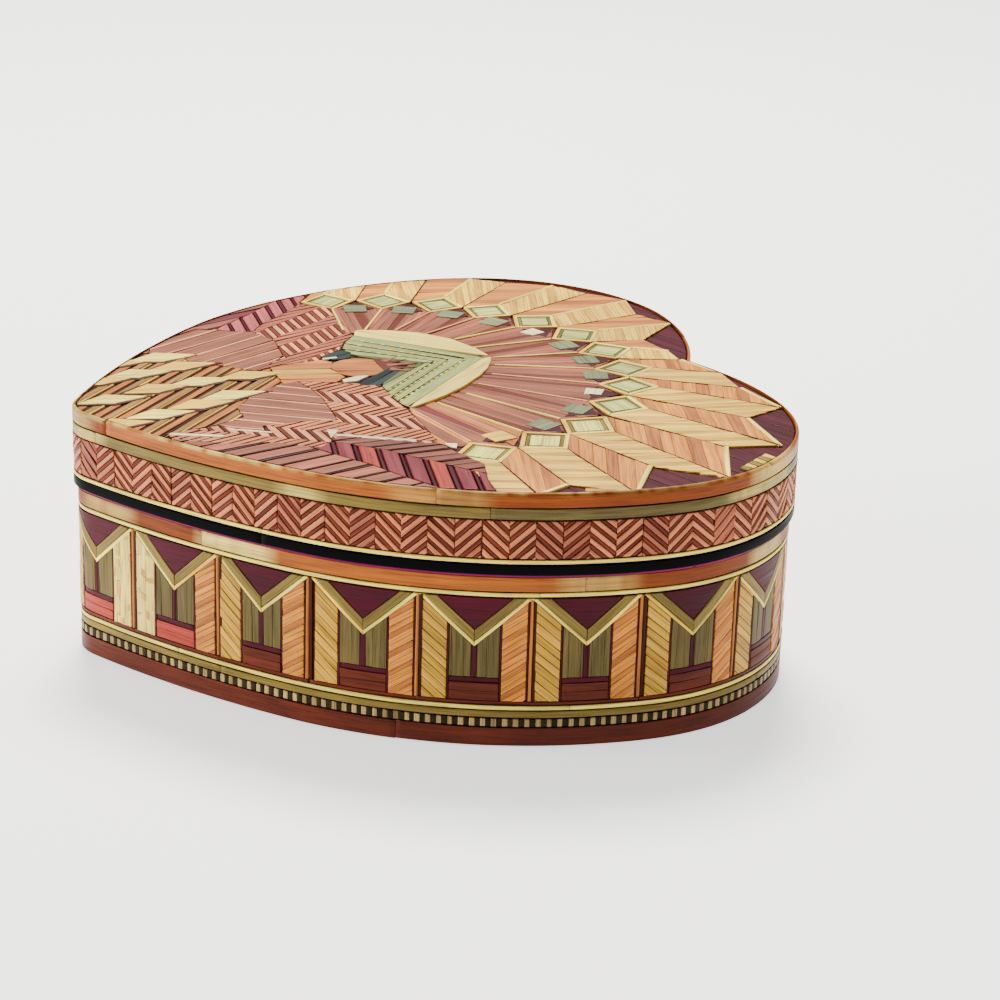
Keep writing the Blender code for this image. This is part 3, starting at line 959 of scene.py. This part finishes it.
def eye_ring():
    """Diamonds with a pale frame, a dark line inside it and a pale green core."""
    tiles = sheet(gap=0.04, bevel=0.13)
    around = (187.1, *EYE_ANGLES, -6.6)
    for i, angle in enumerate(EYE_ANGLES):
        centre = fan_point(angle, EYE_RADIUS)
        along = fan_point(angle, 1) - FAN
        across = left_of(along)
        half_across = EYE_RADIUS * math.radians((around[i] - around[i + 2]) / 4)

        def corners(share):
            return [centre + along * EYE_REACH * share, centre + across * half_across * share,
                    centre - along * EYE_REACH * share, centre - across * half_across * share]

        outer, inner, core = corners(1.0), corners(FRAME_SHARE), corners(CORE_SHARE)
        dark, pale = (DARK_SAGE, PALE_SAGE) if i < GREEN_EYES else (OLIVE, BRIGHT_CORE)
        for large, small, dyes, drop, fade in (
            (outer, inner, (CREAM, PALE_STRAW, PALE_STRAW, CREAM), 0.02, 0.1),
            (inner, core, (dark, dark, dark, dark), 0.16, 0.12),
        ):
            for k, dye in enumerate(dyes):
                after = (k + 1) % 4
                tiles.tile([large[k], large[after], small[after], small[k]], dye,
                           direction(large[after] - large[k]), top=TOP - drop, fade=fade)
        tiles.lay(core, direction(inner[1] - inner[0]), 2.4, (pale,), top=TOP - 0.1, fade=0.06, joint=0.015)
    picture_piece(tiles, "eye_ring", "picture_eye_ring", "straw_olive")


# Headdress: two crescents over a V of green straws

LEFT_CRESCENT = ((-37.4, 1.5), (-35.6, 8.5), (-32.4, 14.4), (-26.5, 19.7), (-19.4, 22.6), (-12.9, 23.9))
LEFT_INNER = ((-33.8, 0.3), (-14.2, 21.6))
RIGHT_CRESCENT = ((-11.9, 23.9), (-8.8, 22.9), (-4.1, 20.6), (0.6, 17.4), (6.5, 12.1), (11.2, 6.8),
                  (14.7, 1.5), (16.8, -2.6))
RIGHT_INNER = ((-11.6, 21.6), (13.5, -0.6))
RAY_ENDS = (
    (-37.9, -0.8), (-36.8, 3.7), (-35.3, 10.1), (-31.1, 15.5), (-25.8, 20.3), (-19.2, 21.8),
    (-11.8, 24.5), (-6.8, 22.9), (-1.1, 20.3), (4.7, 15.5), (10.0, 11.3), (14.2, 3.9), (16.8, -2.4),
)


# How far the blades run in under the headdress, and the spots that aren't green
TUCK = 1.8
SPOT_INSET = 6.6
RAY_WIDTH = 0.65
SPOTS = {4: (WHITE, 1.9), 8: (WHITE, 1.9), 11: (PALE_STRAW, 2.6)}


def inner_fan():
    """Blades between thin pale rays, a small square set near the outer end of each. A dark plum triangle in
    each notch by the eye ring and a dark plum piece behind each square are painted shadow.
    """
    tiles = sheet(gap=0.05, bevel=0.13, uneven=0.02, tilt=0.006)
    under = TOP - 0.16
    starts = [fan_point(a, EYE_RADIUS - EYE_REACH) for a in EYE_ANGLES]
    for i, angle in enumerate(JOINT_ANGLES):
        first, second = starts[i], starts[i + 1]
        low_first, low_second = Vector(RAY_ENDS[i]), Vector(RAY_ENDS[i + 1])
        low_first += (FAN - low_first).normalized() * TUCK
        low_second += (FAN - low_second).normalized() * TUCK
        notch = fan_point(angle, EYE_RADIUS - 0.9)
        band = fan_point(angle, 1) - FAN
        side = left_of(band)
        if i < len(JOINT_ANGLES) - 1:
            tiles.lay([first, notch, second, low_second, low_first], angle + dice.uniform(-9, 9), 1.7,
                      (MAUVE, MAUVE, ROSE, MAUVE, DUSKY), shift=dice.uniform(0, 8), wander=0.3, top=under,
                      fade=0.06, joint=0.01)
            # Painted shadow: a dark plum triangle in the notch between two eyes.
            tiles.tile([first.lerp(second, 0.15), notch, first.lerp(second, 0.85)], DARK_PLUM, angle, top=TOP)
        else:
            middle_start, middle_end = (first + second) / 2, (low_first + low_second) / 2
            tiles.lay([first, notch, middle_start, middle_end, low_first], 22, 2.2, (TAN, SALMON, TAN),
                      top=under, joint=0.01)
            tiles.lay([middle_start, notch, second, low_second, middle_end], 24, 2.6,
                      (PLUM, MAUVE, MAUVE), top=under, joint=0.01)
        dye, half = SPOTS.get(i, (SPOT_GREEN, 2.6))
        spot = fan_point(angle + 0.6, EYE_RADIUS - SPOT_INSET)
        # Painted shadow: a dark plum piece set off to one side behind the square.
        shadow = spot + side * -1.0 + band * 0.6
        tiles.tile([shadow + band * half, shadow - side * half * 1.3, shadow - band * half,
                    shadow + side * half], DARK_PLUM, angle, top=TOP + 0.03)
        tiles.tile([spot + band * half + side * half, spot - band * half + side * half * 0.9,
                    spot - band * half * 0.9 - side * half, spot + band * half - side * half],
                   dye, angle + 90, top=TOP + 0.12)
    # The last sector, down to the robe
    tiles.lay([RAY_ENDS[-1], starts[-1], (40.5, 0.6), (38.0, -3.0), (18.5, -2.8)], 14, (5.5, 3.0),
              (ORANGE_TAN, MAUVE), shift=1, top=under, joint=0.03)
    tiles.tile([(38.4, -2.2), (39.0, 0.2), (41.8, -0.9), (40.6, -1.8)], WHITE, 20, top=TOP + 0.04)
    for start, end in zip(starts, RAY_ENDS):
        tiles.line(start, end, RAY_WIDTH, CREAM if dice.random() > 0.4 else PALE_ROSE, top=TOP + 0.08)
    picture_piece(tiles, "inner_fan", "picture_inner_fan", "straw_salmon")


def crescents():
    """Two pale blades, the right one raised."""
    tiles = sheet()
    tiles.lay(LEFT_CRESCENT + LEFT_INNER[::-1], 46, 14.0, (CREAM,), wander=0.3, top=TOP, fade=0.04)
    picture_piece(tiles, "crescent_left_straw", "crescent_left", "straw_pale")
    tiles = sheet(bevel=0.25)
    tiles.tile(RIGHT_CRESCENT + RIGHT_INNER[::-1], WORN, -44, top=TOP + 0.3, fade=0.04, lean=(0.05, 0.05))
    picture_piece(tiles, "crescent_right_straw", "crescent_right", "straw_pale")


# Lines between the rows of the headband, from the outside in
LEFT_LINES = (
    ((-33.8, 0.3), (-12.7, 22.4)), ((-31.3, -1.5), (-12.6, 18.8)), ((-28.8, -3.2), (-12.4, 15.2)),
    ((-25.0, -4.6), (-12.1, 12.0)), ((-21.2, -3.8), (-11.8, 9.1)), ((-18.4, -1.6), (-11.5, 6.6)),
)
RIGHT_LINES = (
    ((-12.6, 22.4), (15.4, -2.6)), ((-12.5, 18.8), (12.2, -3.4)), ((-12.3, 15.2), (8.8, -3.5)),
    ((-12.0, 12.0), (5.0, -3.6)), ((-11.7, 9.1), (1.2, -3.6)), ((-11.3, 5.6), (-1.4, -2.6)),
)
STITCH = 2.3


def headband():
    """Green rows with a dark line and pale stitches between them."""
    tiles = sheet(gap=0.04)
    for lines, angle in ((LEFT_LINES, 48), (RIGHT_LINES, -42)):
        last = len(lines) - 2
        for number, ((a, b), (c, d)) in enumerate(zip(lines, lines[1:])):
            dye = SAGE if number < last else DARK_SAGE
            tiles.tile([a, b, d, c], dye, angle, top=TOP - 0.1, fade=0.08)
            if 0 < number < last:
                start, end = Vector(a), Vector(b)
                aside = Vector((0, -0.55))
                tiles.line(start + aside, end + aside, 0.35, DARK_OLIVE, top=TOP + 0.03)
                stitches = int((end - start).length / STITCH)
                for k in range(stitches):
                    near = start.lerp(end, (k + 0.25) / stitches)
                    far = start.lerp(end, (k + 0.7) / stitches)
                    tiles.line(near, far, 0.45, CREAM if k % 2 else PALE_STRAW, top=TOP + 0.05)
    picture_piece(tiles, "headband_straw", "headband", "straw_olive")


def figure():
    """The plume, the hair on both sides and the plain oval of the face."""
    tiles = sheet(gap=0.04)
    for k, (reach, lean) in enumerate(((4.8, 124), (6.2, 108), (7.0, 92), (6.0, 76), (4.6, 58))):
        foot = Vector((-14.2 + k * 1.3, 1.0))
        way = heading(lean)
        side = left_of(way) * 0.95
        tiles.tile([foot - side, foot + side, foot + way * reach], RED_BROWN if k % 2 else MAUVE, lean,
                   top=TOP + 0.05, fade=0.15)
    tiles.tile([(-16.6, -0.6), (-7.4, -0.6), (-7.6, 1.6), (-16.0, 1.6)], RED_BROWN, 0, top=TOP + 0.02)
    picture_piece(tiles, "crown_straw", "crown_plume", "straw_salmon")

    tiles = sheet(gap=0.04)
    tiles.lay([(-24.4, -5.4), (-22.4, -3.4), (-18.8, -4.6), (-17.7, -6.8), (-18.6, -10.4), (-20.6, -10.4)],
              -60, 2.6, (SLATE,), fade=0.25)
    tiles.line((-18.7, -10.6), (-19.2, -7.4), 1.0, WHITE, top=TOP + 0.05)
    picture_piece(tiles, "hair_left_straw", "hair_left", "straw_dark", DARK_SKIN)

    tiles = sheet(gap=0.04)
    tiles.lay([(-9.4, 0.6), (-8.8, 2.9), (-6.5, 2.3), (0.8, -3.8), (0.2, -6.8), (-1.2, -7.8), (-6.0, -3.2)],
              -44, 2.2, (SLATE,), fade=0.25)
    tiles.tile([(-5.8, -4.4), (-2.8, -7.6), (-2.6, -10.6), (-4.4, -10.4), (-6.0, -7.0)],
               WHITE, 100, top=TOP + 0.04)
    picture_piece(tiles, "hair_right_straw", "hair_right", "straw_dark", DARK_SKIN)

    tiles = sheet(gap=0.03, bevel=0.1)
    oval = [Vector((-11.8 + 6.1 * math.cos(t), -4.7 + 5.9 * math.sin(t)))
            for t in (math.radians(15 * k) for k in range(24))]
    tiles.lay(oval, 78, 6.2, (TAN,), shift=1.8, wander=0.1, fade=0.05)
    picture_piece(tiles, "face_straw", "face", "straw_gold")


LEAF = ((1.3, -7.0), (2.9, 0.2), (-0.6, 7.6), (-3.4, -0.8))
THROAT_FOOT = -22.6


def leaf(tiles, centre, turn, dye):
    """A pointed leaf with a dark straw showing round it."""
    for grown, colour, rise in ((1.2, BROWN, 0.0), (0.98, dye, 0.16)):
        points = [Vector(centre) + p * grown for p in turned(LEAF, turn)]
        tiles.clipped(points, FIELD, colour, 84 + turn, top=TOP + rise, fade=0.06, gap=0.02, bevel=0.22)


# Borders that two pieces share, then the outline of each piece
PLAIT_LEFT = ((-14.4, -25.9), (-15.6, -27.6), (-19.7, -31.8), (-23.2, -37.6), (-28.5, -38.4), (-31.0, -44.5))
PLAIT_RIGHT = ((16.8, -41.2), (13.8, -35.3), (7.9, -35.3), (3.8, -32.4), (-1.5, -29.4), (-4.4, -22.9))
RIBS_TOP_LEFT = ((-41.0, -20.0), (-34.0, -17.0), (-22.6, -18.0))
RIBS_TOP_RIGHT = (
    (-5.6, -19.4), (-1.0, -18.0), (6.0, -17.4), (20.0, -18.0), (19.0, -26.0), (20.0, -33.0), (23.8, -33.5),
    (20.0, -38.5), (17.5, -41.2),
)
WING_TOP_LEFT = ((-59.5, -4.5), (-52.0, -11.0), (-46.0, -17.0), (-41.0, -20.0))
WING_TOP_RIGHT = (
    (24.0, -51.5), (29.7, -40.0), (29.7, -34.4), (35.0, -25.6), (29.4, -20.3), (34.4, -11.5), (37.4, -5.6),
)
PLAIT_EDGE = (
    (-18.5, -11.0), (-16.8, -20.0), *PLAIT_LEFT, (-40.0, -62.0), (22.0, -75.0), (22.6, -53.5), (20.3, -51.8),
    *PLAIT_RIGHT, (-5.6, -19.4), (-3.2, -12.1), (-6.4, -9.2), (-11.8, -10.7), (-16.4, -9.2),
)
ROBE_LEFT = (
    WING_TOP_LEFT[0], (-54.5, 1.2), (-37.4, 0.2), (-33.8, 0.3), (-29.6, -3.0), (-24.4, -5.4), (-20.6, -10.4),
    (-18.5, -11.0), (-16.8, -20.0), PLAIT_LEFT[0], *RIBS_TOP_LEFT[::-1], *WING_TOP_LEFT[2:0:-1],
)
RIBS_LEFT = (*RIBS_TOP_LEFT, *PLAIT_LEFT, (-37.0, -43.0), (-46.0, -31.0))
WING_LEFT = (
    (-70.5, 2.0), (-61.0, -4.4), *WING_TOP_LEFT, (-46.0, -31.0), (-37.0, -43.0), (-31.0, -44.5),
    (-40.0, -62.0), (-80.0, -40.0), (-80.0, 2.0),
)
ROBE_RIGHT = (
    (16.8, -3.0), (0.8, -3.8), (0.2, -6.8), (-1.2, -7.8), (-3.2, -12.1), *RIBS_TOP_RIGHT, (20.3, -51.8),
    *WING_TOP_RIGHT, (38.0, -3.0),
)
RIBS_RIGHT = RIBS_TOP_RIGHT + PLAIT_RIGHT
WING_RIGHT = (
    (38.0, -3.0), (43.8, -1.5), (51.5, 1.5), (60.0, -0.5), (67.6, -1.0), (80.0, -1.0), (80.0, -40.0),
    (34.0, -70.0), *WING_TOP_RIGHT,
)
LEAVES = (
    (-11.3, -28.2), (-9.7, -38.7), (-7.2, -48.4), (-2.4, -58.2), (-20.5, -40.2), (-17.5, -50.0),
    (-14.6, -58.6), (0.5, -34.8), (4.7, -42.0), (8.7, -50.8), (12.6, -60.0), (-27.2, -43.0), (-25.5, -53.0),
)


def plait():
    """Straight straws at the throat, and leaves over slanting straws below."""
    tiles = sheet(gap=0.07, bevel=0.15)
    tiles.lay_within(PLAIT_EDGE, rectangle(-40, 30, THROAT_FOOT, -5), 80, 3.4, (TAN, ORANGE_TAN, STRAW),
                     wander=0.3, fade=0.08)
    for part in overlap(PLAIT_EDGE, rectangle(-60, 40, -90, THROAT_FOOT)):
        for laid in overlap(part, FIELD):
            for piece, number in straws(laid, 139, (1.7, 0.7, 0.55, 1.6, 0.7), 0.4, 0.1):
                dye = (TAN, BROWN, PALE_STRAW, DUSTY, BROWN)[number % 5]
                tiles.tile(piece, dye, 139, top=TOP - (0.3 if dye is BROWN else 0.14), fade=0.14)
    for number, centre in enumerate(LEAVES):
        leaf(tiles, centre, dice.uniform(-4, 3), CREAM if number % 2 else PALE_STRAW)
    picture_piece(tiles, "plait_straw", "plait", "straw_gold")


def herringbone(tiles, region, axis, centre, spacing, wide, pale, plain):
    """Rows along an axis: pale and dark straws across one row, slanting straws in the next."""
    flat = turned(region, -axis)
    low_u, high_u = min(p.x for p in flat) - 1, max(p.x for p in flat) + 1
    low_v, high_v = min(p.y for p in flat), max(p.y for p in flat)
    row = math.floor((low_v - centre) / spacing)
    while centre + (row - 0.5) * spacing < high_v:
        middle = centre + row * spacing
        for bottom, top, straw in (
            (middle - wide / 2, middle + wide / 2, pale),
            (middle + wide / 2, middle + spacing - wide / 2, plain),
        ):
            window = rectangle(low_u, high_u, bottom, top)
            angle, pitch, dyes = straw
            shift = dice.uniform(0, 2)
            for part in overlap(region, turned(window, axis)):
                for piece, number in straws(part, angle + dice.uniform(-2, 2), pitch, shift, 0.1):
                    dye = dyes[number % len(dyes)]
                    tiles.tile(piece, dye, angle, top=TOP - (0.22 if dye is BROWN else 0.06), fade=0.12)
        row += 1


def robes():
    """Herringbone rows over ribs, with loose white slivers on the right."""
    tiles = sheet(gap=0.08, bevel=0.16, uneven=0.05)
    pale = (4, (1.3, 1.1), (LIGHT_SALMON, DUSKY))
    plain = (115, (1.45, 0.28), (ROSE, BROWN))
    herringbone(tiles, ROBE_LEFT, 130, 30.8, 9.9, 5.6, pale, plain)
    tiles.lay_within(RIBS_LEFT, FIELD, 122, (3.9, 0.8), (MAUVE, PALE_ROSE), shift=0.6, wander=0.1, fade=0.08)
    picture_piece(tiles, "robe_left_straw", "robe_left", "straw_salmon")

    tiles = sheet(gap=0.08, bevel=0.16, uneven=0.05)
    pale = (7, (1.6, 0.9), (LIGHT_SALMON, RED_BROWN))
    plain = (114, (1.3, 0.3), (SALMON, BROWN))
    herringbone(tiles, ROBE_RIGHT, 60, -36.5, 12.0, 5.8, pale, plain)
    tiles.lay_within(RIBS_RIGHT, FIELD, 61, (3.7, 0.8), (MAUVE, PALE_ROSE), shift=0.9, wander=0.1, fade=0.08)
    tiles.line((20.4, -51.5), (24.5, -41.8), 1.3, WHITE, top=TOP + 0.1)
    tiles.line((20.2, -40.2), (24.6, -32.4), 0.8, WHITE, top=TOP + 0.06)
    tiles.line((28.9, -20.9), (35.2, -6.8), 1.3, WHITE, top=TOP + 0.06)
    tiles.tile([(30.4, -22.4), (25.0, -21.8), (26.2, -19.6)], WHITE, 90, top=TOP + 0.1)
    picture_piece(tiles, "robe_right_straw", "robe_right", "straw_salmon")


# Lines that part the inner, middle and outer strips of each wing
RIGHT_WING_BORDER = ((31.0, -24.5), (39.6, -14.0), (44.9, -10.1), (48.2, -6.9), (52.3, -3.9), (60.0, 2.5))
RIGHT_WING_LOWER = ((33.0, -28.5), (37.7, -25.5), (42.3, -22.6), (47.0, -19.1), (53.0, -16.1), (64.0, -9.5))
LEFT_WING_BORDER = ((-41.0, -20.0), (-47.0, -13.5), (-53.0, -7.5), (-62.0, -1.0))
LEFT_WING_LOWER = ((-44.0, -28.0), (-52.0, -20.0), (-60.0, -12.0), (-72.0, -2.0))


def wings():
    """Three sets of strips in each wing, each with its own slope and dyes."""
    tiles = sheet(gap=0.1, bevel=0.2, uneven=0.06)
    inner = (*LEFT_WING_BORDER, (-70.0, 6.0), (-30.0, 10.0), (-30.0, -18.0))
    middle = LEFT_WING_BORDER + LEFT_WING_LOWER[::-1]
    outer = (*LEFT_WING_LOWER, (-90.0, -20.0), (-60.0, -60.0), (-20.0, -70.0), (-25.0, -40.0))
    for part in overlap(WING_LEFT, FIELD):
        for window, angle, pitch, dyes in (
            (inner, 118, (2.2, 0.5), (ROSE, BROWN)), (middle, 176, (2.6, 0.8), (PINK_MAUVE, DARK_PLUM)),
            (outer, 112, (3.0, 0.5, 2.6, 0.5), (MAUVE, DARK_PLUM, PLUM, DARK_PLUM)),
        ):
            tiles.lay_within(part, window, angle, pitch, dyes, wander=0.2, top=TOP - 0.06)
    picture_piece(tiles, "wing_left_straw", "wing_left", "straw_plum")

    tiles = sheet(gap=0.12, bevel=0.24, uneven=0.03, tilt=0.006)
    inner = (*RIGHT_WING_BORDER, (60.0, 12.0), (20.0, 12.0), (20.0, -24.5))
    middle = (*RIGHT_WING_BORDER, (80.0, 2.5), (80.0, -9.5), *RIGHT_WING_LOWER[::-1])
    outer = (*RIGHT_WING_LOWER, (90.0, -9.5), (60.0, -60.0), (0.0, -80.0), (0.0, -50.0), (20.0, -28.5))
    for part in overlap(WING_RIGHT, FIELD):
        for window, angle, pitch, dyes in (
            (inner, 95, (2.5, 0.45), (DARK_MAUVE, DARK_PLUM)),
            (outer, 108, (3.7, 0.7, 3.5, 0.7), (ROSE, BROWN, MAUVE, BROWN)),
        ):
            tiles.lay_within(part, window, angle, pitch, dyes, wander=0.3, top=TOP + 0.14)
        for laid in overlap(part, middle):
            for piece, number in straws(laid, -10, (3.0, 1.1), 0.2, 0.1):
                dye = DARK_PLUM if number % 2 else (PLUM if number % 6 else PINK_RED)
                tiles.tile(piece, dye, -10, top=TOP + (0.04 if number % 2 else 0.16), fade=0.1)
    picture_piece(tiles, "wing_right_straw", "wing_right", "straw_plum")


# Floor, light and camera

AIM = Vector((-60.8, 43.8 - PICTURE_DROP, 0.0)) * MM
CAMERA_AT = Vector((522.6, -159.4 - PICTURE_DROP, 226.1)) * MM
CAMERA_ROLL = 1.72
LENS = 101.98


def stage():
    """A sheet of white paper that shines a little, so that it stays bright."""
    mesh = bpy.data.meshes.new("floor")
    work = bmesh.new()
    bmesh.ops.create_grid(work, x_segments=1, y_segments=1, size=6.0)
    work.to_mesh(mesh)
    work.free()
    floor = bpy.data.objects.new("floor", mesh)
    paper = Skin("paper")
    for name, value in (
        ("Base Color", (0.93, 0.93, 0.93, 1.0)), ("Roughness", 0.6),
        ("Emission Color", (1.0, 1.0, 1.0, 1.0)), ("Emission Strength", 1.2),
    ):
        paper.put(paper.shader.inputs[name], value)
    mesh.materials.append(paper.made)
    bpy.context.scene.collection.objects.link(floor)


def area_light(name, place, aim, size, power, colour=(1, 1, 1)):
    data = bpy.data.lights.new(name, "AREA")
    data.shape = "DISK"
    data.size = size
    data.energy = power
    data.color = colour
    light = bpy.data.objects.new(name, data)
    light.location = place
    light.rotation_euler = (Vector(aim) - Vector(place)).to_track_quat("-Z", "Y").to_euler()
    bpy.context.scene.collection.objects.link(light)


def lights():
    """White surroundings, a warm key light from above and a low light towards the tip."""
    world = bpy.context.scene.world or bpy.data.worlds.new("studio")
    bpy.context.scene.world = world
    world.use_nodes = True
    background = world.node_tree.nodes["Background"]
    background.inputs["Color"].default_value = (1.0, 1.0, 1.0, 1.0)
    background.inputs["Strength"].default_value = 0.4
    area_light("key", (-0.5, 0.15, 0.95), (0, 0, 0.02), 0.45, 30.0, (1.0, 0.96, 0.89))
    area_light("front", (-0.3, -0.95, 0.22), (0, 0, 0.03), 0.4, 12.5)


def camera():
    data = bpy.data.cameras.new("camera")
    data.lens = LENS
    data.sensor_width = 36.0
    data.clip_start = 0.01
    data.clip_end = 20.0
    eye = bpy.data.objects.new("camera", data)
    look = (AIM - CAMERA_AT).to_track_quat("-Z", "Y").to_matrix().to_4x4()
    roll = Matrix.Rotation(math.radians(CAMERA_ROLL), 4, "Z")
    eye.matrix_world = Matrix.Translation(CAMERA_AT) @ look @ roll
    bpy.context.scene.collection.objects.link(eye)
    bpy.context.scene.camera = eye


camera()
lights()
stage()
walls()
ground()
outer_feathers()
eye_ring()
inner_fan()
crescents()
headband()
figure()
plait()
robes()
wings()
